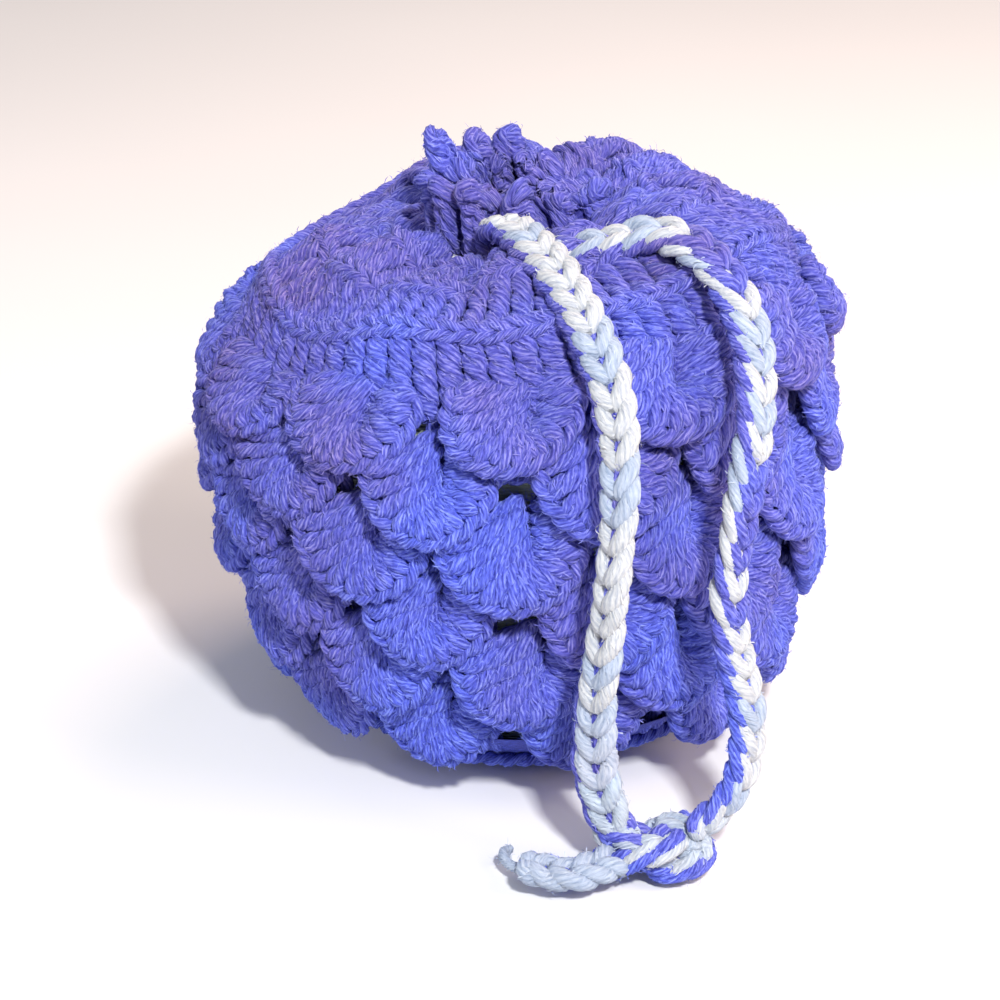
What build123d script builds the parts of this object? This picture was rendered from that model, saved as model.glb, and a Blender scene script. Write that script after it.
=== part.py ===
"""Crocheted drawstring dice bag: a net of rounds covered with overlapping scales.

The bag stands on its closed base, with +Z up and the origin at the middle of the base.
The drawstring leaves the neck at the front, which is -Y, and hangs down to a knot.
"""

import math
import os

from build123d import *

# Driving dimensions, in millimetres and degrees.
SECTOR_COUNT = 12
PITCH = 360 / SECTOR_COUNT
FRONT_HEADING = -90

# Outer face of the net: height and radius where one round is worked onto the next.
WALL = [(0, 42), (7, 52), (22, 61), (38, 66), (54, 69), (70, 70), (86, 69), (100, 65), (112, 58)]
NET_THICKNESS = 3.5
BASE_THICKNESS = 3.0

LINING_GAP = 0.6
LINING_THICKNESS = 1.2
LINING_TOP = 108.0

# Scales, from the top row to the bottom row.
SCALE_TIPS = [91, 75, 59, 43, 28, 13]
TOP_ROW_DROP = 19.0
SCALE_DROP = 22.0
SCALE_THICKNESS = 2.8
SCALE_ROOT_GAP = 0.3
SCALE_TIP_GAP = 7.3
SCALE_ARC = 28.0
SCALE_ROUNDING = 0.6

# Gathers: the pleats of the top, which fold up about their outer edge.
GATHER_ARC = 28.0
GATHER_THICKNESS = 4.0
GATHER_OUTER_RADIUS = 54.3
GATHER_OUTER_HEIGHT = 113.0
GATHER_KNEE_RADIUS = 40.0
GATHER_KNEE_HEIGHT = 120.0
NECK_RADIUS = 22.0
NECK_HEIGHT = 118.5
FIXED_GATHERS = (-1, 0, 1)
MOVING_GATHERS = range(2, 11)

# Hidden run of the drawstring, just inside the gathers' inner ends.
CHANNEL_CORD_RADIUS = 3.2
CHANNEL_RADIUS = 18.4
CHANNEL_HEIGHT = 115.2

# Frill of small scallops above the drawstring.
FRILL_ARC = 25.0
FRILL_WIDTH = 8.2
FRILL_HEIGHT = 21.0
FRILL_INNER_RADIUS = 17.5
FRILL_BASE_THICKNESS = 5.0
FRILL_TOP_THICKNESS = 4.0
FRILL_LEAN = 4.5
FRILL_GAP = 0.2

# Free loop of the drawstring.
CORD_DIAMETER = 10.0
LEFT_STRAND = [
    (-7, -30, 126), (1, -39, 128.5), (9, -49, 126.5), (17, -63, 119.5), (22, -76, 107),
    (22.5, -84.5, 92), (21, -88, 76), (19, -88.5, 60), (17, -88, 45), (16.5, -87.5, 31),
    (17.5, -88.5, 19), (22, -90, 10),
]
RIGHT_STRAND = [
    (11, -30, 126), (21, -32.5, 129.5), (31, -36.5, 131.5), (39.5, -43.5, 130),
    (46, -52, 124.5), (50, -61, 115.5), (50.5, -70, 105), (49, -76, 92.5), (46.5, -79.5, 79),
    (44.5, -80.5, 65), (46.5, -80.5, 51), (50, -82, 38), (50, -85.5, 26), (46, -88.5, 17.5),
    (39, -90.5, 12),
]
LONG_TAIL = [(21, -95, 6.2), (12, -99.5, 5.6), (2, -97, 5.6)]
SHORT_TAIL = [(35, -87, 7), (37.5, -79, 5), (37, -72, 3.8)]
LONG_TAIL_DIAMETER = 10.0
SHORT_TAIL_DIAMETER = 6.0
KNOT_CENTRE = (30, -91, 7.6)
KNOT_HALF_LENGTH = 11.5
KNOT_HALF_WIDTH = 7.2


def wall_radius(height):
    """Outer radius of the net at a height, straight between two levels."""
    for (low, low_radius), (high, high_radius) in zip(WALL, WALL[1:]):
        if low <= height <= high:
            share = (height - low) / (high - low)
            return low_radius + share * (high_radius - low_radius)
    raise ValueError(f"height {height} is above the net")


def heading(position):
    """Direction of a sector in degrees, counted in pitches from the front."""
    return FRONT_HEADING + position * PITCH


def revolved(profile, arc=360.0):
    """Solid made by turning a closed (radius, height) profile, centred on +X if partial."""
    outline = Polyline(*[(radius, 0, height) for radius, height in profile], close=True)
    solid = revolve(make_face(outline), axis=Axis.Z, revolution_arc=arc)
    return Rot(0, 0, -arc / 2) * solid if arc < 360 else solid


def turned(shape, position):
    """Copy of a +X shape at a sector position."""
    return Rot(0, 0, heading(position)) * shape


def tongue_cutter(width, root_height, tip_height, rounding):
    """Prism along +X with a round end at the tip and a square end at the root."""
    half = width / 2
    shoulder_height = tip_height + rounding * half * math.copysign(1, root_height - tip_height)
    sides = Polyline(
        (0, -half, shoulder_height), (0, -half, root_height),
        (0, half, root_height), (0, half, shoulder_height),
    )
    tip = ThreePointArc((0, half, shoulder_height), (0, 0, tip_height), (0, -half, shoulder_height))
    return extrude(make_face(sides + tip), amount=150, dir=(1, 0, 0))


def net_round(index):
    """One round of the net, between two levels of the wall."""
    low, low_radius = WALL[index]
    high, high_radius = WALL[index + 1]
    return revolved([
        (low_radius - NET_THICKNESS, low), (low_radius, low),
        (high_radius, high), (high_radius - NET_THICKNESS, high),
    ])


def base_disc():
    """Closed start of the bottom, inside the first round."""
    radius = WALL[0][1] - NET_THICKNESS
    return Cylinder(radius, BASE_THICKNESS, align=(Align.CENTER, Align.CENTER, Align.MIN))


def lining():
    """Thin cloth pouch that follows the inside of the net and is open at the top."""
    offset = NET_THICKNESS + LINING_GAP
    floor = BASE_THICKNESS + LINING_GAP
    levels = [floor] + [height for height, _ in WALL if floor < height < LINING_TOP] + [LINING_TOP]
    outside = [(wall_radius(height) - offset, height) for height in levels]
    inside = [(radius - LINING_THICKNESS, height) for radius, height in outside]
    inside[0] = (inside[0][0], floor + LINING_THICKNESS)
    return revolved([(0, floor)] + outside + inside[::-1] + [(0, floor + LINING_THICKNESS)])


def scale_row(index):
    """Twelve curved scales that hang from one round and stand out at their tips."""
    tip_height = SCALE_TIPS[index]
    root_height = tip_height + (TOP_ROW_DROP if index == 0 else SCALE_DROP)
    root_radius = wall_radius(root_height) + SCALE_ROOT_GAP
    tip_radius = wall_radius(tip_height) + SCALE_TIP_GAP
    slope = math.atan2(tip_radius - root_radius, root_height - tip_height)
    out = SCALE_THICKNESS * math.cos(slope)
    up = SCALE_THICKNESS * math.sin(slope)
    blank = revolved([
        (root_radius, root_height), (tip_radius, tip_height),
        (tip_radius + out, tip_height + up), (root_radius + out, root_height + up),
    ], SCALE_ARC)
    width = 2 * tip_radius * math.sin(math.radians(SCALE_ARC / 2))
    cutter = tongue_cutter(width, root_height + SCALE_THICKNESS, tip_height, SCALE_ROUNDING)
    scale = blank & cutter
    stagger = 0.5 * (index % 2)
    return Compound(children=[turned(scale, k + stagger) for k in range(SECTOR_COUNT)])


def gather():
    """One pleat of the top, at +X."""
    return revolved([
        (GATHER_OUTER_RADIUS, GATHER_OUTER_HEIGHT), (GATHER_KNEE_RADIUS, GATHER_KNEE_HEIGHT),
        (NECK_RADIUS, NECK_HEIGHT), (NECK_RADIUS, NECK_HEIGHT - GATHER_THICKNESS),
        (GATHER_KNEE_RADIUS, GATHER_KNEE_HEIGHT - GATHER_THICKNESS),
        (GATHER_OUTER_RADIUS, GATHER_OUTER_HEIGHT - 0.8 * GATHER_THICKNESS),
    ], GATHER_ARC)


def frill_scallop(lean):
    """One scallop of the frill, at +X, leaning out by a distance at its top."""
    base = NECK_HEIGHT + FRILL_GAP
    top = base + FRILL_HEIGHT
    inner_top = FRILL_INNER_RADIUS + lean
    blank = revolved([
        (FRILL_INNER_RADIUS, base), (FRILL_INNER_RADIUS + FRILL_BASE_THICKNESS, base),
        (inner_top + FRILL_TOP_THICKNESS, top), (inner_top, top),
    ], FRILL_ARC)
    return blank & tongue_cutter(FRILL_WIDTH, base - 1, top, 1.0)


def channel_cord(arc):
    """Stretch of the drawstring inside the neck, at +X."""
    section = Plane(origin=(CHANNEL_RADIUS, 0, CHANNEL_HEIGHT), z_dir=(0, 1, 0)) * Circle(CHANNEL_CORD_RADIUS)
    return Rot(0, 0, -arc / 2) * revolve(section, axis=Axis.Z, revolution_arc=arc)


def route_radii(points):
    """Largest arc that each corner of a cord's route has room for."""
    corners = [Vector(*point) for point in points]
    radii = []
    for before, corner, after in zip(corners, corners[1:], corners[2:]):
        arriving = corner - before
        leaving = after - corner
        turn = math.radians(arriving.get_angle(leaving))
        radii.append(0.45 * min(arriving.length, leaving.length) / math.tan(turn / 2))
    return radii


def cord_tube(name, points, diameter):
    """Round tube along straight runs joined by tangent arcs."""
    radii = route_radii(points)
    path = FilletPolyline(*points, radius=radii)
    start = Plane(origin=path @ 0, z_dir=path % 0)
    tube = sweep(start * Circle(diameter / 2), path=path)
    ideal = math.pi * diameter ** 2 / 4 * path.length
    print(f"{name}: length {path.length:.1f}, volume / ideal {tube.volume / ideal:.4f}")
    print("  radii", " ".join(f"{radius:.1f}" for radius in radii))
    return tube


def end_knot():
    """Overhand knot that joins both strands, as a rounded block."""
    half = make_face(
        EllipticalCenterArc((0, 0), KNOT_HALF_LENGTH, KNOT_HALF_WIDTH, start_angle=0, arc_size=180)
        + Line((-KNOT_HALF_LENGTH, 0), (KNOT_HALF_LENGTH, 0))
    )
    return Pos(*KNOT_CENTRE) * revolve(half, axis=Axis.X)


def build_parts():
    """Every node of the bag, by name."""
    parts = {"base_disc": base_disc(), "lining": lining()}
    for index in range(len(WALL) - 1):
        parts[f"net_round_{index + 1}"] = net_round(index)
    for index in range(len(SCALE_TIPS)):
        parts[f"scale_row_{index + 1}"] = scale_row(index)

    upright = frill_scallop(0.0)
    parts["gather_front"] = Compound(children=[turned(gather(), k) for k in FIXED_GATHERS])
    parts["frill_front"] = Compound(children=[turned(upright, k) for k in FIXED_GATHERS])
    parts["channel_cord_front"] = turned(channel_cord(2 * PITCH + GATHER_ARC), 0)

    for number, position in enumerate(MOVING_GATHERS, start=1):
        parts[f"gather_{number}"] = turned(gather(), position)
        parts[f"frill_{number}"] = turned(frill_scallop(FRILL_LEAN), position)
        parts[f"channel_cord_{number}"] = turned(channel_cord(GATHER_ARC), position)

    parts["strand_left"] = cord_tube("strand_left", LEFT_STRAND, CORD_DIAMETER)
    parts["strand_right"] = cord_tube("strand_right", RIGHT_STRAND, CORD_DIAMETER)
    parts["tail_long"] = cord_tube("tail_long", LONG_TAIL, LONG_TAIL_DIAMETER)
    parts["tail_short"] = cord_tube("tail_short", SHORT_TAIL, SHORT_TAIL_DIAMETER)
    parts["end_knot"] = end_knot()
    return parts


os.makedirs("parts", exist_ok=True)
for node, solid in build_parts().items():
    export_step(solid, f"parts/{node}.step")
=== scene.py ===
"""Looks of a crocheted drawstring dice bag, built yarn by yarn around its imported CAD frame.

Sizes are in millimetres until a mesh is made, but the camera and the lights are placed in metres.
Driving angles and the rolls of the cord are in degrees, and worked-out angles are in radians.
A sector position counts pitches of 30 degrees from the front, counter-clockwise seen from above.
"""

import math

import bpy
import numpy as np
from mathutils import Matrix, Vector


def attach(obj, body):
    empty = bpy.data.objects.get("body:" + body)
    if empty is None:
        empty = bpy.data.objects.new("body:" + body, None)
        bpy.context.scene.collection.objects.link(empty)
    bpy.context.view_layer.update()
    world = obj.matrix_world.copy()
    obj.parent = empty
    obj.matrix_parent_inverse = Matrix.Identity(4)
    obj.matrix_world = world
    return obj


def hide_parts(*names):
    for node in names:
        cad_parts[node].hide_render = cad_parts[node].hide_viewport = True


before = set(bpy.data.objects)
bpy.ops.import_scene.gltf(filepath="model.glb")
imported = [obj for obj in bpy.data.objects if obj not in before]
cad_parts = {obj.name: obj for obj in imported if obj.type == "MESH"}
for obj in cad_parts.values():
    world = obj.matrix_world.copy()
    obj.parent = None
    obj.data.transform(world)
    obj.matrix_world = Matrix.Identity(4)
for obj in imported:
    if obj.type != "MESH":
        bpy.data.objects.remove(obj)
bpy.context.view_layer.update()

MM = 0.001
SECTORS = 12
PITCH = 360 / SECTORS
FRONT_HEADING = -90

# Net levels and scale rows, as in part.py.
WALL = [(0, 42), (7, 52), (22, 61), (38, 66), (54, 69), (70, 70), (86, 69), (100, 65), (112, 58)]
SCALE_TIPS = [91, 75, 59, 43, 28, 13]
SCALE_ROOTS = [108, 97, 81, 65, 50, 35]
SCALE_TIP_GAP = 7.4
SCALE_WIDTH = 32.5
SCALE_LENGTH = 28.0
SCALE_POSTS = 6
# A scale has its full width where the radii of its root and tip add up to this.
SCALE_WIDTH_RADII = 146
# Share of a scale's length where its sides start to curve in, and share of its rim that curves.
SCALE_BELLY = 0.34
SCALE_RIM_TURN = 0.74

BAND_RADII = (57.0, 66.0)
BAND_HEIGHTS = (118.0, 100.5)
GATHER_OUTER = (56.0, 119.0)
GATHER_KNEE = (40.0, 121.5)
GATHER_NECK = (20.0, 119.5)
# How far each pleat of the top puffs up, and how tall its frill is, from the front round.
PLEAT_PUFF = [4, 6, 8, 8, 8, 9, 8, 6, 4, 5, 5, 4]
FRILL_HEIGHTS = [18, 15, 12.5, 11, 12, 16, 22.5, 23.5, 23, 21, 18, 19]
# How far the web under a pleat puffs up, as a share of its pleat.
WEB_PUFF = 0.6
CHANNEL_RADIUS = 18.4
CHANNEL_HEIGHT = 115.2
BASE_POSTS = 44
STITCH_PITCH = 5.8

CORD_DIAMETER = 10.0
CHAIN_PITCH = 6.2
LEFT_STRAND = [
    (-1.5, -27, 128.5), (2.0, -36.5, 128.8), (8, -48.5, 126.5), (15, -63, 119), (20.5, -76, 107),
    (21.5, -84.5, 92), (20.5, -88, 76), (19, -88.5, 60), (17, -88, 45), (16.5, -87.5, 31),
    (17.5, -88.5, 19), (22, -90, 10),
]
RIGHT_STRAND = [
    (8, -32, 124), (18.5, -34, 127), (31, -36.5, 131.5), (39.5, -43.5, 130),
    (46, -52, 124.5), (50, -61, 115.5), (50.5, -70, 105), (49, -76, 92.5), (46.5, -79.5, 79),
    (44.5, -80.5, 65), (46.5, -80.5, 51), (50, -82, 38), (50, -85.5, 26), (46, -88.5, 17.5),
    (39, -90.5, 12),
]
LONG_TAIL = [(21, -95, 6.2), (12, -99.5, 5.6), (2, -97, 5.6)]
SHORT_TAIL = [(35, -87, 7), (37.5, -79, 5), (37, -72, 3.8)]
KNOT_CENTRE = (30, -91, 7.6)

# Yarn colours, in the order of their materials on a piece. The third is the white yarn again, made bluer
# to paint the shade it lies in.
VIOLET, WHITE, SHADED_WHITE = 0, 1, 2
# Yarn: its radius, its plies and how deep the grooves between them are in each colour, and how
# many radii one full turn of the plies takes.
YARN_RADIUS = 1.25
PLIES = 8
PLY_DEPTHS = (0.075, 0.05, 0.05)
PLY_TURN = 9.5
# Distance between the rings of a yarn's mesh, and its short fibres per millimetre.
YARN_STEP = 0.9
YARN_FUZZ = 3.2


def wall_radius(height):
    """Outer radius of the net at a height."""
    return np.interp(height, [level for level, _ in WALL], [radius for _, radius in WALL])


def heading(position):
    """Direction of a sector in radians."""
    return np.radians(FRONT_HEADING + np.asarray(position, float) * PITCH)


def unit(vectors):
    """Vectors of length one."""
    vectors = np.asarray(vectors, float)
    return vectors / np.maximum(np.linalg.norm(vectors, axis=-1, keepdims=True), 1e-9)


def smooth(value, low=0.0, high=1.0):
    """Smooth step from 0 at low to 1 at high."""
    share = np.clip((np.asarray(value, float) - low) / (high - low), 0, 1)
    return share * share * (3 - 2 * share)


def resample(points, step):
    """Points along a polyline at about equal distances."""
    points = np.asarray(points, float)
    reach = np.concatenate([[0], np.cumsum(np.linalg.norm(np.diff(points, axis=0), axis=1))])
    count = max(4, int(round(reach[-1] / step)) + 1)
    places = np.linspace(0, reach[-1], count)
    return np.stack([np.interp(places, reach, points[:, axis]) for axis in range(3)], axis=1)


def curve_through(points, step):
    """Smooth Catmull-Rom line through a few points, sampled evenly."""
    points = np.asarray(points, float)
    padded = np.vstack([2 * points[0] - points[1], points, 2 * points[-1] - points[-2]])
    share = np.linspace(0, 1, 12, endpoint=False)[:, None]
    spans = []
    for a, b, c, d in zip(padded, padded[1:], padded[2:], padded[3:]):
        spans.append(0.5 * (2 * b + (c - a) * share + (2 * a - 5 * b + 4 * c - d) * share ** 2
                            + (3 * b - a - 3 * c + d) * share ** 3))
    return resample(np.vstack(spans + [points[-1:]]), step)


def spread_along(directions, count):
    """One direction for every point, from a single direction or a few along the line."""
    directions = np.asarray(directions, float)
    if directions.ndim == 1:
        return np.tile(directions, (count, 1))
    places = np.linspace(0, 1, len(directions))
    wanted = np.linspace(0, 1, count)
    return np.stack([np.interp(wanted, places, directions[:, axis]) for axis in range(3)], axis=1)


def across_of(along, up):
    """Directions up and sideways, square to a line."""
    up = unit(up - (up * along).sum(-1, keepdims=True) * along)
    return up, np.cross(along, up)


def settle(points):
    """Leans and fills the whole bag as it stands: its mouth tilts, and its right side is fuller."""
    x, y, z = points.T
    left = np.interp(z, [0, 15, 30, 55, 72, 88, 105], [0.87, 0.90, 0.93, 0.945, 0.955, 0.99, 1.03])
    right = np.interp(z, [0, 25, 45, 75, 92, 104, 114], [1.0, 0.99, 0.96, 0.945, 0.98, 1.02, 1.05])
    fuller = np.where(x < 0, left, right) - 1
    tilt = np.interp(z, [45, 91, 113], [0, 0.08, 0.11])
    warp = np.interp(z, [85, 113], [0, 0.10])
    angle = np.arctan2(y, x)
    reach = np.hypot(x, y)
    lumps = 1.3 * np.sin(5 * angle + 0.09 * reach) + 1.1 * np.sin(8 * angle - 0.13 * reach + 1)
    sunk = 7.0 * np.exp(-((x + 44) ** 2 + (y - 24) ** 2) / 26 ** 2)
    sunk = sunk + 5.0 * np.exp(-((x - 58) ** 2 + (y - 24) ** 2) / 20 ** 2)
    frill = np.clip(z - 120, 0, 30)
    x_settled = x * (1 + fuller * smooth(np.abs(x), 0, 50)) - 0.22 * frill
    z_settled = z + tilt * x - warp * x * y / 56 + (lumps - sunk) * smooth(z, 95, 115)
    return np.stack([x_settled, y + 0.06 * frill, z_settled], axis=1)


class Knitting:
    """Collects yarn, fuzz and cloth, and makes one mesh object of them."""

    def __init__(self, name, seed):
        self.name = name
        self.random = np.random.default_rng(seed)
        self.points = []
        self.strands = []
        self.ridges = []
        self.faces = []
        self.finishes = []
        self.count = 0

    def add(self, points, strand, ridge, faces, finish):
        """Adds points with their place on the yarn, and faces that count from the first of them."""
        self.points.append(points)
        self.strands.append(strand)
        self.ridges.append(ridge)
        self.faces.extend((np.asarray(faces) + self.count).tolist())
        self.finishes.extend([finish] * len(faces))
        self.count += len(points)

    def yarn(self, path, up, radius=YARN_RADIUS, finish=VIOLET, twist=1, step=YARN_STEP,
             fuzz=YARN_FUZZ):
        """One yarn along a path: plies that wind round each other, and loose fibres."""
        path = resample(path, step)
        count = len(path)
        along = unit(np.gradient(path, axis=0))
        up, side = across_of(along, spread_along(up, count))
        reach = np.arange(count) * step
        corner = np.arange(2 * PLIES) * np.pi / PLIES
        wander = self.wander(reach, 3.5)
        turned = corner + (twist * 2 * np.pi * reach / (PLY_TURN * radius) + 0.7 * wander)[:, None]
        # 1 on the crown of a ply and 0 in its groove: it shapes the yarn, and the material paints shade
        # in the grooves and highlight on the crowns from it.
        ridge = np.broadcast_to(np.arange(2 * PLIES) % 2, turned.shape)
        ends = np.minimum(np.arange(count), np.arange(count)[::-1]) * step
        girth = radius * (0.45 + 0.55 * np.sqrt(np.clip(ends / (1.3 * radius), 0, 1)))
        girth = girth * (1 + 0.07 * self.wander(reach, 3.0))
        depth = PLY_DEPTHS[finish]
        size = girth[:, None] * (1 - depth + 2 * depth * ridge)
        outward = side[:, None] * np.cos(turned)[..., None] + up[:, None] * np.sin(turned)[..., None]
        grid = path[:, None] + outward * size[..., None]
        index = np.arange(count * 2 * PLIES).reshape(count, 2 * PLIES)
        ahead = np.roll(index, -1, axis=1)
        quads = np.stack([index[:-1], ahead[:-1], ahead[1:], index[1:]], axis=-1).reshape(-1, 4)
        place = self.random.uniform(0, 500) + reach[:, None] + 0 * turned
        strand = np.stack([place, radius * np.cos(corner) + 0 * turned,
                           radius * np.sin(corner) + 0 * turned], axis=-1)
        self.add(grid.reshape(-1, 3), strand.reshape(-1, 3), ridge.reshape(-1), quads, finish)
        self.fibres(grid, outward, int(fuzz * reach[-1]), 0.11, (0.9, 2.4), 0.14, finish)
        self.fibres(grid, outward, int(0.08 * fuzz * reach[-1]), 0.04, (1.5, 4.5), 0.8, finish)

    def wander(self, reach, spacing):
        """Smooth random values, about -1 to 1, at distances along a line."""
        knots = np.arange(0, reach[-1] + 2 * spacing, spacing)
        return np.interp(reach, knots, self.random.uniform(-1, 1, len(knots)))

    def fibres(self, grid, outward, count, width, lengths, rise, finish):
        """Fine fibres that lie along the plies of a yarn and stand off it by their rise."""
        if count < 1:
            return
        ring = self.random.integers(0, len(grid) - 1, count)
        corner = self.random.integers(0, grid.shape[1], count)
        base = grid[ring, corner]
        away = outward[ring, corner]
        ahead = unit(grid[ring + 1, corner] - base) * self.random.choice([-1, 1], (count, 1))
        lean = unit(ahead + rise * away + (0.30 + 0.3 * rise) * self.random.normal(size=(count, 3)))
        length = self.random.uniform(*lengths, (count, 1))
        across = unit(np.cross(lean, away)) * width
        middle = base + lean * length * 0.5 + 0.04 * away
        tip = base + (lean - 0.35 * away) * length
        points = np.stack([base + 0.4 * across, base - 0.4 * across, middle - across,
                           middle + across, tip + 0.3 * across, tip - 0.3 * across], axis=1)
        first = np.arange(count)[:, None] * 6
        faces = np.concatenate([first + [0, 1, 2, 3], first + [3, 2, 5, 4]])
        # Fibres get a ridge value of 0.5 to 1.5, so the material paints them as light as the ply crowns
        # and lighter: a painted highlight on the fuzz.
        self.add(points.reshape(-1, 3), np.zeros((count * 6, 3)),
                 np.repeat(self.random.uniform(0.5, 1.5, count), 6), faces, finish)

    def rope(self, path, up, strands=3, radius=YARN_RADIUS, finish=(VIOLET,), turn_length=15.0,
             twist=1, flat=1.0, step=YARN_STEP, fuzz=YARN_FUZZ):
        """Yarns that wind loosely round each other along a path."""
        path = resample(path, step)
        along = unit(np.gradient(path, axis=0))
        up, side = across_of(along, spread_along(up, len(path)))
        radii = np.broadcast_to(radius, strands)
        start = self.random.uniform(0, 2 * np.pi)
        for number in range(strands):
            offset = (radii.sum() - radii[number]) * (0.75 if strands == 2 else 0.45)
            turn = start + 2 * np.pi * number / strands
            turn = turn + twist * 2 * np.pi * np.arange(len(path)) * step / turn_length
            line = path + offset * (side * np.cos(turn)[:, None] + flat * up * np.sin(turn)[:, None])
            self.yarn(line, up, radii[number], finish[number % len(finish)], twist, step, fuzz)

    def stitch_edge(self, path, up, radius=1.0, width=2.1):
        """Row of stitch tops: two ropes side by side that wind opposite ways, like a herringbone."""
        along = unit(np.gradient(np.asarray(path, float), axis=0))
        _, side = across_of(along, spread_along(up, len(path)))
        for twist in (-1, 1):
            self.rope(path + side * twist * width / 2, up, strands=2, radius=radius,
                      turn_length=9.5, twist=twist)

    def cloth(self, grid, finish=VIOLET):
        """An open sheet from a grid of points."""
        rows, columns = grid.shape[:2]
        index = np.arange(rows * columns).reshape(rows, columns)
        quads = np.stack([index[:-1, :-1], index[:-1, 1:], index[1:, 1:], index[1:, :-1]], axis=-1)
        points = grid.reshape(-1, 3)
        # The sheet's points carry ridge 0, so a yarn material gives it the painted groove shade.
        self.add(points, points, np.zeros(len(points)), quads.reshape(-1, 4), finish)

    def build(self, finishes, settled=True):
        """Makes the mesh object, with the place on the yarn kept on its points."""
        points = np.vstack(self.points)
        if settled:
            points = settle(points)
        mesh = bpy.data.meshes.new(self.name)
        mesh.from_pydata((points * MM).tolist(), [], self.faces)
        mesh.attributes.new("strand", "FLOAT_VECTOR", "POINT")
        mesh.attributes["strand"].data.foreach_set("vector", np.vstack(self.strands).ravel())
        # The ridge value lets the yarn materials paint shade in the ply grooves and highlight on the ply
        # crowns.
        mesh.attributes.new("ridge", "FLOAT", "POINT")
        mesh.attributes["ridge"].data.foreach_set("value", np.concatenate(self.ridges).astype(float))
        for finish in finishes:
            mesh.materials.append(finish)
        mesh.polygons.foreach_set("material_index", self.finishes)
        mesh.polygons.foreach_set("use_smooth", [True] * len(self.faces))
        mesh.update()
        made = bpy.data.objects.new(self.name, mesh)
        bpy.context.scene.collection.objects.link(made)
        return made


# ---------------------------------------------------------------- materials

def new_material(name):
    """A material with its node tree, its shader and its link function."""
    material = bpy.data.materials.new(name)
    material.use_nodes = True
    tree = material.node_tree
    return material, tree, tree.nodes["Principled BSDF"], tree.links.new


def ramp(tree, factor, stops):
    """Colour ramp from (place, colour) stops."""
    node = tree.nodes.new("ShaderNodeValToRGB")
    elements = node.color_ramp.elements
    while len(elements) < len(stops):
        elements.new(0.5)
    for element, (place, colour) in zip(elements, stops):
        element.position = place
        element.color = (*colour, 1)
    tree.links.new(factor, node.inputs["Fac"])
    return node.outputs["Color"]


def noise(tree, vector, scale, detail=2.0, roughness=0.5):
    """Value of a noise texture."""
    node = tree.nodes.new("ShaderNodeTexNoise")
    node.inputs["Scale"].default_value = scale
    node.inputs["Detail"].default_value = detail
    node.inputs["Roughness"].default_value = roughness
    tree.links.new(vector, node.inputs["Vector"])
    return node.outputs["Fac"]


def weighted(tree, first, second, weight):
    """First value plus a weight times the second."""
    node = tree.nodes.new("ShaderNodeMath")
    node.operation = "MULTIPLY_ADD"
    tree.links.new(second, node.inputs[0])
    node.inputs[1].default_value = weight
    tree.links.new(first, node.inputs[2])
    return node.outputs[0]


def attribute(tree, name):
    """Node that reads an attribute of the mesh."""
    node = tree.nodes.new("ShaderNodeAttribute")
    node.attribute_name = name
    return node


def yarn_material(name, groove_shade, middle, light, tint, light_tint_by_height, sheen):
    """Soft plied yarn, with painted shade in the grooves between plies and a painted highlight on their
    crowns, fine fibres along them, patches of uneven dye, and a tint that grows with height as painted
    light.
    """
    material, tree, shader, link = new_material(name)
    stretch = tree.nodes.new("ShaderNodeMapping")
    stretch.inputs["Scale"].default_value = (0.3, 1.0, 1.0)
    link(attribute(tree, "strand").outputs["Vector"], stretch.inputs["Vector"])
    fibres = noise(tree, stretch.outputs["Vector"], 2.0, detail=4, roughness=0.65)
    # Painted shade and highlight: the ridge value darkens the grooves between plies and lightens their
    # crowns, on top of the fibres' own tone.
    fibre_tone_and_ply_shade = weighted(tree, fibres, attribute(tree, "ridge").outputs["Fac"], 0.22)
    colour = ramp(tree, fibre_tone_and_ply_shade, [(0.36, groove_shade), (0.60, middle), (0.88, light)])

    place = tree.nodes.new("ShaderNodeTexCoord")
    split = tree.nodes.new("ShaderNodeSeparateXYZ")
    link(place.outputs["Object"], split.inputs["Vector"])
    # Random patches of uneven dye, plus painted light by height: the tint grows upwards by its weight, so
    # with a positive weight the top is tinted as if lit from above, and with a negative one the bottom is
    # tinted as if in shade.
    patches = weighted(tree, noise(tree, place.outputs["Object"], 30.0), split.outputs["Z"], light_tint_by_height)
    amount = tree.nodes.new("ShaderNodeMapRange")
    amount.inputs["From Min"].default_value = 0.52
    amount.inputs["From Max"].default_value = 0.95
    amount.inputs["To Max"].default_value = 0.95
    link(patches, amount.inputs["Value"])
    dye_and_light_tint = tree.nodes.new("ShaderNodeMix")
    dye_and_light_tint.data_type = "RGBA"
    dye_and_light_tint.blend_type = "MULTIPLY"
    link(amount.outputs["Result"], dye_and_light_tint.inputs["Factor"])
    link(colour, dye_and_light_tint.inputs["A"])
    dye_and_light_tint.inputs["B"].default_value = (*tint, 1)
    link(dye_and_light_tint.outputs["Result"], shader.inputs["Base Color"])

    bump = tree.nodes.new("ShaderNodeBump")
    bump.inputs["Strength"].default_value = 0.8
    bump.inputs["Distance"].default_value = 0.0010
    link(fibres, bump.inputs["Height"])
    link(bump.outputs["Normal"], shader.inputs["Normal"])
    shader.inputs["Roughness"].default_value = 0.8
    shader.inputs["Specular IOR Level"].default_value = 0.2
    shader.inputs["Sheen Weight"].default_value = sheen
    shader.inputs["Sheen Roughness"].default_value = 0.35
    shader.inputs["Sheen Tint"].default_value = (*light, 1)
    return material


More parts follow.
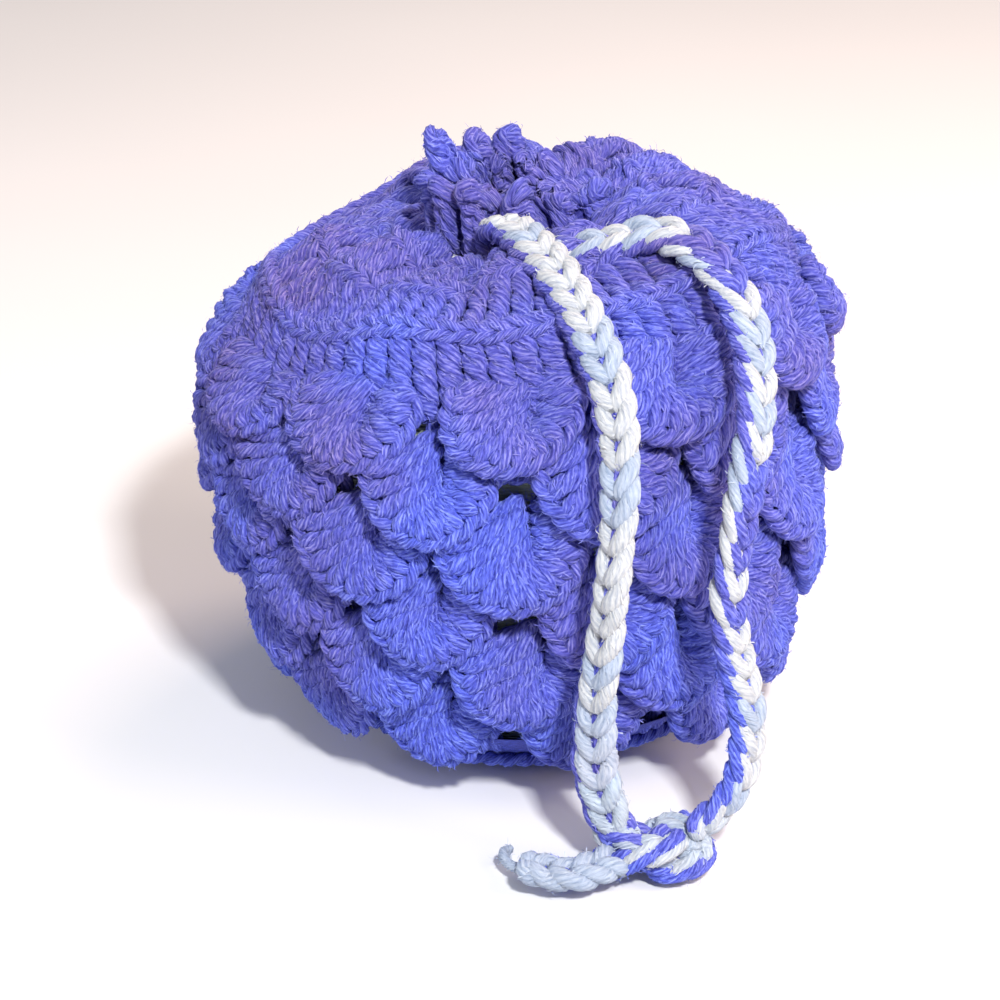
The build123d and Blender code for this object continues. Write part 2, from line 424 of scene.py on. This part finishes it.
def cloth_material(name, dark, light):
    """Plain woven cotton with slightly uneven dye."""
    material, tree, shader, link = new_material(name)
    place = tree.nodes.new("ShaderNodeTexCoord")
    patches = noise(tree, place.outputs["Object"], 60.0)
    link(ramp(tree, patches, [(0.3, dark), (0.7, light)]), shader.inputs["Base Color"])
    weave = tree.nodes.new("ShaderNodeTexWave")
    weave.inputs["Scale"].default_value = 320.0
    weave.bands_direction = "Z"
    link(place.outputs["Object"], weave.inputs["Vector"])
    bump = tree.nodes.new("ShaderNodeBump")
    bump.inputs["Distance"].default_value = 0.0003
    link(weave.outputs["Fac"], bump.inputs["Height"])
    link(bump.outputs["Normal"], shader.inputs["Normal"])
    shader.inputs["Roughness"].default_value = 0.9
    shader.inputs["Sheen Weight"].default_value = 0.2
    return material


def add_materials():
    """The yarns, with a bluer copy of the white one that paints shade, and the lining cloth."""
    # Each yarn's tint changes with height to paint light: the violet warms towards the top as if lit from
    # above, and the white turns bluish towards the floor as painted shade.
    violet = yarn_material("violet_yarn", groove_shade=(0.022, 0.026, 0.25), middle=(0.095, 0.130, 0.70),
                           light=(0.30, 0.39, 0.98), tint=(1.20, 0.70, 0.55), light_tint_by_height=2.4, sheen=0.3)
    white = yarn_material("white_yarn", groove_shade=(0.34, 0.38, 0.47), middle=(0.55, 0.575, 0.62),
                          light=(0.75, 0.76, 0.76), tint=(0.55, 0.80, 1.1), light_tint_by_height=-0.6, sheen=0.3)
    shaded_white = yarn_material("shaded_white_yarn", groove_shade=(0.24, 0.31, 0.45), middle=(0.40, 0.475, 0.62),
                         light=(0.56, 0.63, 0.74), tint=(1.3, 1.15, 1.05), light_tint_by_height=-0.6, sheen=0.3)
    sage = cloth_material("lining_cloth", dark=(0.36, 0.46, 0.38), light=(0.62, 0.72, 0.60))
    return [violet, white, shaded_white], [sage]


YARNS, CLOTH = add_materials()


# ---------------------------------------------------------------- camera, light, floor

def add_camera():
    """Camera in front of the bag and a little above it."""
    height_aimed_at = 84 * MM
    distance = 0.70
    elevation = math.radians(22)
    look_right, look_down = -0.0065, 0.0442
    forward = Vector((0, math.cos(elevation), -math.sin(elevation)))
    up = Vector((0, math.sin(elevation), math.cos(elevation)))
    camera = bpy.data.objects.new("camera", bpy.data.cameras.new("camera"))
    camera.location = Vector((0, 0, height_aimed_at)) - distance * forward
    view = forward + look_right * Vector((1, 0, 0)) - look_down * up
    camera.rotation_euler = view.to_track_quat("-Z", "Y").to_euler()
    camera.data.lens = 105.8
    bpy.context.scene.collection.objects.link(camera)
    bpy.context.scene.camera = camera


def add_light(name, place, size, watts, colour=(1, 1, 1)):
    """Square soft light that points at the middle of the bag."""
    data = bpy.data.lights.new(name, "AREA")
    data.size = size
    data.energy = watts
    data.color = colour
    light = bpy.data.objects.new(name, data)
    light.location = place
    light.rotation_euler = (Vector((0, 0, 0.07)) - Vector(place)).to_track_quat("-Z", "Y").to_euler()
    bpy.context.scene.collection.objects.link(light)


def add_studio():
    """Pale floor, pale surroundings and soft lights."""
    size = 3.0
    mesh = bpy.data.meshes.new("floor")
    mesh.from_pydata([(-size, -size, 0), (size, -size, 0), (size, size, 0), (-size, size, 0)],
                     [], [(0, 1, 2, 3)])
    floor = bpy.data.objects.new("floor", mesh)
    bpy.context.scene.collection.objects.link(floor)
    material, tree, shader, link = new_material("floor")
    place = tree.nodes.new("ShaderNodeTexCoord")
    link(ramp(tree, noise(tree, place.outputs["Object"], 3.0),
              [(0.3, (0.78, 0.78, 0.79)), (0.7, (0.82, 0.82, 0.83))]), shader.inputs["Base Color"])
    shader.inputs["Roughness"].default_value = 0.9
    mesh.materials.append(material)
    world = bpy.data.worlds.new("surroundings")
    world.use_nodes = True
    world.node_tree.nodes["Background"].inputs["Color"].default_value = (0.95, 0.96, 1, 1)
    world.node_tree.nodes["Background"].inputs["Strength"].default_value = 0.30
    bpy.context.scene.world = world
    bpy.context.scene.view_settings.view_transform = "Standard"
    add_light("key", (0.22, -0.80, 0.82), 0.10, 14.0)
    add_light("fill", (0.8, -0.3, 0.6), 0.5, 5, (1, 0.80, 0.70))
    add_light("side", (-0.9, -0.3, 0.5), 0.5, 3)
    add_light("back", (0.35, 0.45, 0.9), 0.5, 6, (1, 0.74, 0.60))


# ---------------------------------------------------------------- drawstring

def smooth_route(points):
    """Points of the smooth line that a free cord follows, in millimetres."""
    data = bpy.data.curves.new("route", "CURVE")
    data.dimensions = "3D"
    spline = data.splines.new("NURBS")
    spline.points.add(len(points) - 1)
    for point, place in zip(spline.points, points):
        point.co = (*(coordinate * MM for coordinate in place), 1)
    spline.order_u = 3
    spline.use_endpoint_u = True
    spline.resolution_u = 16
    route = bpy.data.objects.new("route", data)
    mesh = bpy.data.meshes.new_from_object(route)
    line = np.array([vertex.co[:] for vertex in mesh.vertices]) / MM
    bpy.data.objects.remove(route)
    bpy.data.meshes.remove(mesh)
    return line


def chain(knitting, line, width, centre, rolls=(0,), girth=1.0, pitch=CHAIN_PITCH, whiteness=(0.9,),
          shaded_share=0.3):
    """Chain stitches of a pale and a violet yarn held together, along a line.

    Rolls and whiteness are spread along it: how far it is turned, and how likely pale lies outside.
    The pale yarn is white, with some loops in a bluer copy of it that paints shade.
    """
    dye_and_light_tint = np.random.default_rng(len(line))
    line = resample(line, 0.5)
    reach = np.arange(len(line)) * 0.5
    along = unit(np.gradient(line, axis=0))
    outward, side = across_of(along, line - np.asarray(centre, float))
    roll = np.radians(np.interp(reach, np.linspace(0, reach[-1], len(rolls)), rolls))[:, None]
    turned_out = outward * np.cos(roll) + side * np.sin(roll)
    side = side * np.cos(roll) - outward * np.sin(roll)
    outward = turned_out
    random = knitting.random
    arm = [(0.0, 0.08, -1.5), (0.35, 0.66, -0.8), (0.8, 1.0, 0.2), (1.25, 0.80, 1.2), (1.62, 0.30, 1.1),
           (1.82, 0.0, -0.3)]
    loop = np.array(arm + [(share, -across, depth) for share, across, depth in arm[-2::-1]])
    loops = max(2, int(round(reach[-1] / pitch)))
    spacing = reach[-1] / loops
    shares = np.interp(np.linspace(0, 1, loops + 1), np.linspace(0, 1, len(whiteness)), whiteness)
    for number, share in zip(range(-1, loops), shares):
        pale = SHADED_WHITE if dye_and_light_tint.random() < shaded_share else WHITE
        outer, inner = (pale, VIOLET) if random.random() < share else (VIOLET, pale)
        spot = np.clip((number + loop[:, 0]) * spacing + random.uniform(-0.4, 0.4), 0, reach[-1])
        out = np.stack([np.interp(spot, reach, outward[:, axis]) for axis in range(3)], axis=1)
        over = np.stack([np.interp(spot, reach, side[:, axis]) for axis in range(3)], axis=1)
        base = np.stack([np.interp(spot, reach, line[:, axis]) for axis in range(3)], axis=1)
        shift = random.uniform(1.3, 1.8)
        # Each yarn's finish and radius, its share of the width, and how far it is raised and aside.
        for finish, radius, reachout, raised, aside in ((outer, 1.9, 1.0, 0.2, -0.5),
                                                        (inner, 1.35, 0.82, -0.5, shift)):
            spread = reachout * (width / 2 - 2.0 * girth) * random.uniform(0.9, 1.05)
            across = loop[:, 1] * spread + aside * girth
            depth = loop[:, 2] * width / 10 + raised + random.uniform(-0.15, 0.15)
            path = curve_through(base + across[:, None] * over + depth[:, None] * out, 0.9)
            knitting.yarn(path, out, radius=radius * girth, finish=finish, fuzz=3.0)


BAG_MIDDLE = (0, 0, 60)


def free_strand(name, node, points, rolls, whiteness):
    """One free strand of the drawstring."""
    line = smooth_route(points)
    knitting = Knitting(name, seed=len(points))
    chain(knitting, line, CORD_DIAMETER, BAG_MIDDLE, rolls, whiteness=whiteness)
    strand = knitting.build(YARNS, settled=False)
    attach(strand, "cord_loop")
    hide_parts(node)


def knot_line():
    """Closed line of a three-lobed overhand knot, flattened where it lies."""
    turn = np.linspace(0, 2 * np.pi, 160)
    ring = 5.4 + 2.6 * np.cos(3 * turn)
    shape = np.stack([ring * np.cos(2 * turn) * 1.2, ring * np.sin(2 * turn) * 0.62,
                      3.4 * np.sin(3 * turn)], axis=1)
    return shape + np.array(KNOT_CENTRE)


def add_drawstring():
    """Knot, tails and the two free strands."""
    knot = Knitting("end_knot_yarn", seed=3)
    below_knot = (KNOT_CENTRE[0], KNOT_CENTRE[1], -20)
    chain(knot, knot_line(), 8.0, below_knot, girth=0.9, pitch=6.0, whiteness=(0.75,))
    knot = knot.build(YARNS, settled=False)
    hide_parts("end_knot")

    long_tail = Knitting("long_tail_yarn", seed=8)
    # Most pale loops of the long tail, and its loose wisps, take the bluer white yarn: painted shade near
    # the floor.
    chain(long_tail, curve_through(LONG_TAIL, 1.0), 10.0, (10, -97, -30), pitch=5.6, shaded_share=0.9)
    for shift in (0.0, 0.9):
        wisp = curve_through([(4, -97, 4), (-1.5, -93 + shift, 3.6), (-3.4, -88, 3.2 + shift),
                              (-1.4, -83.5, 2.6)], 0.8)
        long_tail.yarn(wisp, (0, 0, 1), radius=0.95, finish=SHADED_WHITE, fuzz=3)
    long_tail = long_tail.build(YARNS, settled=False)
    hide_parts("tail_long")

    short_tail = Knitting("short_tail_yarn", seed=9)
    # One of the three yarns is the bluer white, painted shade.
    short_tail.rope(curve_through(SHORT_TAIL, 0.8), (0, 0, 1), finish=(WHITE, VIOLET, SHADED_WHITE), fuzz=3)
    short_tail = short_tail.build(YARNS, settled=False)
    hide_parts("tail_short")

    for piece in (knot, long_tail, short_tail):
        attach(piece, "cord_loop")
    free_strand("strand_left_yarn", "strand_left", LEFT_STRAND, (0, 10, 20, 35, 60, 70, 60, 30, 0),
                (1, 1, 1, 0.9, 0.8, 1, 1, 1, 0.2))
    free_strand("strand_right_yarn", "strand_right", RIGHT_STRAND, (-20, 0, 10, -20, -30, -30, -25, -10),
                (0.6, 1, 0.1, 1, 0.9, 0.6, 0.7, 0.3, 1, 1, 1))


# ---------------------------------------------------------------- bag

def on_cone(position, share, radii, heights, lift):
    """Points on a cone between two (radius, height) ends, raised along its normal."""
    slope = unit([radii[1] - radii[0], heights[1] - heights[0]])
    radius = radii[0] + share * (radii[1] - radii[0]) - lift * slope[1]
    height = heights[0] + share * (heights[1] - heights[0]) + lift * slope[0]
    angle = heading(position)
    return np.stack(np.broadcast_arrays(radius * np.cos(angle), radius * np.sin(angle), height), axis=-1)


def finish_piece(knitting, body, node, finishes=None):
    """Makes a piece that rides on a body and stands for a node of the same name."""
    made = knitting.build(finishes or YARNS)
    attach(made, body)
    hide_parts(node)
    return made


def scale_rim(share, side, width, length):
    """Rim of a scale, across and down, on one side from its tip (0) to the top of that side (1)."""
    belly = SCALE_BELLY * length
    turn = np.clip(share / SCALE_RIM_TURN, 0, 1) * np.pi / 2
    climb = np.clip((share - SCALE_RIM_TURN) / (1 - SCALE_RIM_TURN), 0, 1)
    across = side * width / 2 * np.sin(turn) * (1 - 0.06 * climb)
    return across, belly + (length - belly) * np.cos(turn) - climb * (belly - 1.5)


class ScaleShape:
    """One scale: a U-shaped lobe, cupped on both sides of an off-centre crease."""

    def __init__(self, random, row, position):
        tip, root = SCALE_TIPS[row], SCALE_ROOTS[row]
        self.position = position
        self.radii = (wall_radius(root) + 1.2, wall_radius(tip) + SCALE_TIP_GAP)
        self.heights = (root, tip)
        self.width = SCALE_WIDTH * sum(self.radii) / SCALE_WIDTH_RADII * random.uniform(0.94, 1.06)
        self.length = SCALE_LENGTH * random.uniform(0.95, 1.06)
        self.lean = math.radians(random.normal(-3, 7))
        self.crease = random.uniform(1.5, 6.0)
        self.hollow = random.uniform(3.2, 5.4)
        self.edge_lifts = (random.uniform(1.8, 4.4), random.uniform(-1.0, 1.5))
        self.tip_lift = random.uniform(0.0, 2.8)
        self.roll = random.uniform(1.2, 2.2)

    def skin(self, across, down, raised=0.0):
        """Point of the scale from its distance across and down, raised off its middle surface."""
        across, down = np.broadcast_arrays(np.asarray(across, float), np.asarray(down, float))
        out = across / (self.width / 2)
        fall = down / self.length
        to_rim = np.sqrt(out ** 2 + np.clip((fall - SCALE_BELLY) / (1 - SCALE_BELLY), 0, 2) ** 2)
        hollow = np.exp(-((across - self.crease) / 3.4) ** 2 - (np.clip(fall - 0.42, 0, 1) / 0.2) ** 2)
        lift = 3.2 * smooth(fall, 0.0, 0.2) - 1.4 - self.hollow * hollow * smooth(fall, 0.0, 0.35)
        lift = lift - self.roll * smooth(to_rim, 0.72, 1.08)
        side_lift = np.where(across < 0, self.edge_lifts[0], self.edge_lifts[1])
        lift = lift + side_lift * smooth(np.abs(out), 0.3, 1.0) * (1 - 0.4 * fall)
        lift = lift + self.tip_lift * smooth(fall, 0.4, 1.0) + raised
        turned_across = across * math.cos(self.lean) + (down - 4) * math.sin(self.lean)
        turned_down = down * math.cos(self.lean) - across * math.sin(self.lean)
        spot = self.position + np.degrees(turned_across / (sum(self.radii) / 2)) / PITCH
        return on_cone(spot, turned_down / (self.length - 1), self.radii, self.heights, lift)


def add_scale(knitting, row, position):
    """One crocodile-stitch scale: twelve posts that fan from its crease to a roped rim."""
    shape = ScaleShape(knitting.random, row, position)
    outward = unit(shape.skin(0, 10, 1.0) - shape.skin(0, 10))
    for side in (-1, 1):
        for post in range(SCALE_POSTS):
            end_across, end_down = scale_rim(0.06 + 0.17 * post, side, shape.width - 3.4,
                                             shape.length - 1.7)
            start_down = 15.5 - 3.2 * post
            share = np.linspace(0, 1, 14)
            across = shape.crease + side * 1.0 + (end_across - shape.crease - side * 1.0) * share
            down = start_down + (end_down - start_down) * share + 1.0 * np.sin(np.pi * share)
            knitting.rope(shape.skin(across, down), outward, turn_length=12, flat=0.6, radius=1.4)
    rim = np.concatenate([np.linspace(0.94, 0, 26), np.linspace(0, 0.94, 26)[1:]])
    side = np.where(np.arange(len(rim)) < 26, -1, 1)
    across, down = scale_rim(rim, side, shape.width - 2.2, shape.length - 0.8)
    knitting.rope(shape.skin(across, down, -0.6), outward, strands=2, radius=1.3, turn_length=9)
    share = np.linspace(0, 1, 7)[:, None]
    across, down = scale_rim(rim[::2], side[::2], shape.width - 3.5, shape.length - 2)
    spine = np.clip(15.0 - 16.0 * (rim[::2] - 0.08), 2.0, 15.0)
    knitting.cloth(shape.skin(shape.crease + (across - shape.crease) * share,
                              spine + (down - spine) * share, -1.4))


def add_scale_rows():
    """Six rows of twelve scales, each row a half pitch round from the one above."""
    for row in range(len(SCALE_TIPS)):
        for side, numbers in (("front", range(-2, 2)), ("right", range(2, 6)), ("left", range(6, 10))):
            knitting = Knitting(f"scale_row_{row + 1}_{side}_yarn", seed=60 + row + 10 * numbers[0])
            for number in numbers:
                place = number + 0.5 * (row % 2) + knitting.random.normal(0, 0.035)
                add_scale(knitting, row, place)
            finish_piece(knitting, "bag", f"scale_row_{row + 1}")


def ring_line(radius, height, wobble=0.0):
    """Closed ring of points round the bag, with its outward directions."""
    turn = np.linspace(0, 2 * np.pi, 241)
    level = height + wobble * np.sin(5 * turn + height)
    points = np.stack([radius * np.cos(turn), radius * np.sin(turn), level], axis=1)
    return points, np.stack([np.cos(turn), np.sin(turn), 0.8 + 0 * turn], axis=1)


def add_net():
    """Open rounds of post pairs and chains that carry the scales."""
    for index, (low, high) in enumerate(zip(WALL[:-2], WALL[1:-1])):
        knitting = Knitting(f"net_round_{index + 1}_yarn", seed=60 + index)
        points, outward = ring_line(high[1] - 2.0, high[0] - 0.4, 0.4)
        knitting.rope(points, outward, strands=2, radius=1.0, turn_length=8, step=1.2, fuzz=0.1)
        for number in range(2 * SECTORS):
            for shift in (-0.07, 0.07):
                position = (number + 0.5 * (index % 2)) / 2 + shift
                path = on_cone(position, np.linspace(0, 1, 8), (low[1] - 1.9, high[1] - 1.9),
                               (low[0] + 1.8, high[0]), 0.0)
                knitting.yarn(path, path[0] * [1, 1, 0], radius=1.5, step=1.3, fuzz=0.1)
        finish_piece(knitting, "bag", f"net_round_{index + 1}")


def add_base():
    """Closed bottom: posts that run out from the middle between worked rings, and a turned-up edge."""
    knitting = Knitting("base_disc_yarn", seed=71)
    turn = np.linspace(0, 2 * np.pi * 6, 700)
    radius = 2 + 39 * turn / turn[-1]
    spiral = np.stack([radius * np.cos(turn), radius * np.sin(turn), 2.0 + 0 * turn], axis=1)
    knitting.rope(spiral, (0, 0, -1), strands=2, radius=0.95, turn_length=8, step=1.3, fuzz=0)
    for number in range(BASE_POSTS):
        angle = 2 * np.pi * number / BASE_POSTS + np.linspace(0, 0.3, 10)
        reach = np.linspace(5, 41, 10)
        path = np.stack([reach * np.cos(angle), reach * np.sin(angle), 2.4 + 0 * reach], axis=1)
        knitting.rope(path, (0, 0, 1), strands=2, radius=1.2, turn_length=9, flat=0.7, step=1.3, fuzz=0)
    around = np.linspace(0, SECTORS, 97)[None, :]
    knitting.cloth(on_cone(around, np.linspace(0, 1, 4)[:, None], (40.5, 57.5), (1.4, 17.0), -1.2))
    finish_piece(knitting, "bag", "base_disc")


def add_band():
    """Plain band of slanted posts above the scales, with the stitch edge along its top."""
    knitting = Knitting("net_round_8_posts", seed=70)
    posts = round(2 * math.pi * 62 / STITCH_PITCH)
    share = np.linspace(0, 1, 12)
    for number in range(posts):
        position = SECTORS * number / posts + 0.14 * share
        path = on_cone(position, share, BAND_RADII, BAND_HEIGHTS, 0.8 * np.sin(np.pi * share) - 1.6)
        knitting.rope(path, unit(path[5] * [1, 1, 0]) + [0, 0, 0.7], turn_length=13, flat=0.75,
                      radius=1.6, step=1.2, fuzz=3.0)
    around = np.linspace(0, SECTORS, 121)[None, :]
    knitting.cloth(on_cone(around, np.linspace(0, 1, 5)[:, None], BAND_RADII, BAND_HEIGHTS, -3.0))
    finish_piece(knitting, "bag", "net_round_8")
    edge = Knitting("net_round_8_edge", seed=72)
    points, outward = ring_line(BAND_RADII[0] + 0.2, BAND_HEIGHTS[0] - 0.4, 0.5)
    edge.stitch_edge(points, outward)
    finish_piece(edge, "bag", "net_round_8")


def add_lining():
    """Cloth pouch inside the net."""
    levels = [3.6, 7, 14, 22, 30, 38, 46, 54, 62, 70, 78, 86, 93, 100, 108]
    turn = np.linspace(0, 2 * np.pi, 121)
    rows = [np.stack([0.05 * np.cos(turn), 0.05 * np.sin(turn), 4.2 + 0 * turn], axis=1)]
    for level in levels:
        reach = wall_radius(level) - 4.3 + 0.35 * np.sin(17 * turn + level / 9) + 0.25 * np.sin(29 * turn)
        rows.append(np.stack([reach * np.cos(turn), reach * np.sin(turn), level + 0 * turn], axis=1))
    knitting = Knitting("lining_cloth", seed=1)
    knitting.cloth(np.stack(rows), finish=0)
    made = finish_piece(knitting, "bag", "lining", CLOTH)


# ---------------------------------------------------------------- gathered top and frill

def gather_skin(position, across, share, puff, raised=0.0):
    """Point on one pleat: across from -0.5 to 0.5, share from its outer edge to the neck."""
    across, share = np.broadcast_arrays(np.asarray(across, float), np.asarray(share, float))
    radius = GATHER_OUTER[0] + (GATHER_NECK[0] - GATHER_OUTER[0]) * share
    height = np.interp(-radius, [-GATHER_OUTER[0], -GATHER_KNEE[0], -GATHER_NECK[0]],
                       [GATHER_OUTER[1], GATHER_KNEE[1], GATHER_NECK[1]])
    arch = np.cos(np.pi * np.clip(across, -0.5, 0.5))
    arch = np.sqrt(np.clip(arch, 0, 1))
    rise = puff * smooth(share, 0.0, 0.5) * (1 - 0.3 * smooth(share, 0.75, 1.0)) * arch
    rise = rise - 2.4 * (1 - arch) * smooth(share, 0.05, 0.5) - 2.0 + raised
    angle = heading(position + across * 0.98)
    return np.stack([radius * np.cos(angle), radius * np.sin(angle), height + rise], axis=-1)


def add_gather(knitting, position, puff):
    """One pleat of the top: three rounds of five posts with a stitch edge between rounds.

    A web of the same knit runs on under both neighbours, and covers the gap when the mouth opens.
    """
    edges = [0.0, 0.36, 0.70, 1.0]
    angle = heading(position)
    up = np.array([0.35 * math.cos(angle), 0.35 * math.sin(angle), 1.0])
    for low, high in zip(edges, edges[1:]):
        girth = 1.55 - 0.55 * (low + high) / 2
        for post in range(5):
            share = np.linspace(low, high, 10)
            across = (post - 2) / 5 + knitting.random.normal(0, 0.01) + 0.12 * (share - low)
            knitting.rope(gather_skin(position, across, share, puff), up, turn_length=13,
                          radius=girth, flat=0.85)
    for edge in edges[1:3]:
        across = np.linspace(-0.5, 0.5, 24)
        knitting.stitch_edge(gather_skin(position, across, edge, puff, 1.2), up, radius=1.0, width=2.2)
    across = np.linspace(-0.5, 0.5, 15)[None, :]
    share = np.linspace(0.0, 1.0, 14)[:, None]
    knitting.cloth(gather_skin(position, across, share, puff, -1.6))
    across = np.linspace(-1.0, 1.0, 21)[None, :]
    share = np.linspace(0.12, 1.0, 12)[:, None]
    knitting.cloth(gather_skin(position, across, share, puff * WEB_PUFF, -1.9))


def add_frill(knitting, position, height):
    """One fold of the frill: a ruffled band of posts, its roped edge and a fat picot."""
    random = knitting.random
    flop = random.normal(0, 0.12)

    def skin(across, rise):
        """Point of the fold, across from -0.5 to 0.5 and up from its base."""
        across, rise = np.broadcast_arrays(np.asarray(across, float), np.asarray(rise, float))
        share = rise / height
        ruffle = np.cos(2 * np.pi * across)
        radius = 16.0 - 6.0 * share + (1.8 + 4.6 * share) * ruffle
        angle = heading(position + across + flop * share)
        return np.stack([1.2 * radius * np.cos(angle) + 1.0, 0.92 * radius * np.sin(angle),
                         117.5 + rise], axis=-1)

    angle = heading(position)
    outward = np.array([math.cos(angle), math.sin(angle), 0.2])
    band = 0.62 * height
    for post in range(4):
        across = (post - 1.5) / 4
        rise = np.linspace(0, band, 10)
        knitting.rope(skin(across, rise), outward, radius=1.15, turn_length=12)
    back = skin(np.linspace(-0.5, 0.5, 11)[None, :], np.linspace(0, band, 8)[:, None])
    knitting.cloth(back - 1.0 * unit(outward))
    across = np.linspace(-0.5, 0.5, 18)
    knitting.rope(skin(across, band + 0.6), outward, strands=2, radius=1.05, turn_length=8, twist=-1)
    turn = np.linspace(0, np.pi, 16)
    picot = skin(0.15 * np.cos(turn), band + (height - band - 2.4) * np.sin(turn) ** 0.8)
    knitting.rope(picot, outward, strands=3, radius=1.35, turn_length=11)


def add_cord_roots(knitting):
    """Last stretch of each strand before it dives under the frill."""
    for root, exit_point in (((-4, -18, 126.5), LEFT_STRAND[0]), ((9, -23, 119.5), RIGHT_STRAND[0])):
        middle = [(a + b) / 2 for a, b in zip(root, exit_point)]
        # Under the frill most pale loops take the bluer white yarn, painted shade from the frill.
        chain(knitting, curve_through([root, middle, exit_point], 0.8), 9.0, (0, -25, 60),
              whiteness=(1,), shaded_share=0.8)


def add_channel(knitting, position, arc):
    """Stretch of the drawstring inside the neck."""
    angle = heading(np.linspace(position - arc / 2, position + arc / 2, 20))
    path = np.stack([CHANNEL_RADIUS * np.cos(angle), CHANNEL_RADIUS * np.sin(angle),
                     CHANNEL_HEIGHT + 0 * angle], axis=1)
    knitting.rope(path, (0, 0, 1), finish=(WHITE, WHITE, VIOLET), radius=1.4, turn_length=12)


def add_top():
    """Twelve pleats with their frill: the front three are fixed, the others fold up."""
    groups = {"front": [-1, 0, 1]}
    groups.update({str(number): [number + 1] for number in range(1, 10)})
    for label, positions in groups.items():
        body = "bag" if label == "front" else f"pleat_{label}"
        gather = Knitting(f"gather_{label}_yarn", seed=80 + positions[0])
        frill = Knitting(f"frill_{label}_yarn", seed=100 + positions[0])
        channel = Knitting(f"channel_cord_{label}_yarn", seed=120 + positions[0])
        for position in positions:
            add_gather(gather, position, PLEAT_PUFF[position % SECTORS])
            add_frill(frill, position, FRILL_HEIGHTS[position % SECTORS] + frill.random.normal(0, 0.8))
        add_channel(channel, sum(positions) / len(positions), len(positions) - 0.07)
        if label == "front":
            add_cord_roots(channel)
        finish_piece(gather, body, f"gather_{label}")
        finish_piece(frill, body, f"frill_{label}")
        finish_piece(channel, body, f"channel_cord_{label}")


add_camera()
add_studio()
add_drawstring()
add_scale_rows()
add_net()
add_base()
add_band()
add_lining()
add_top()
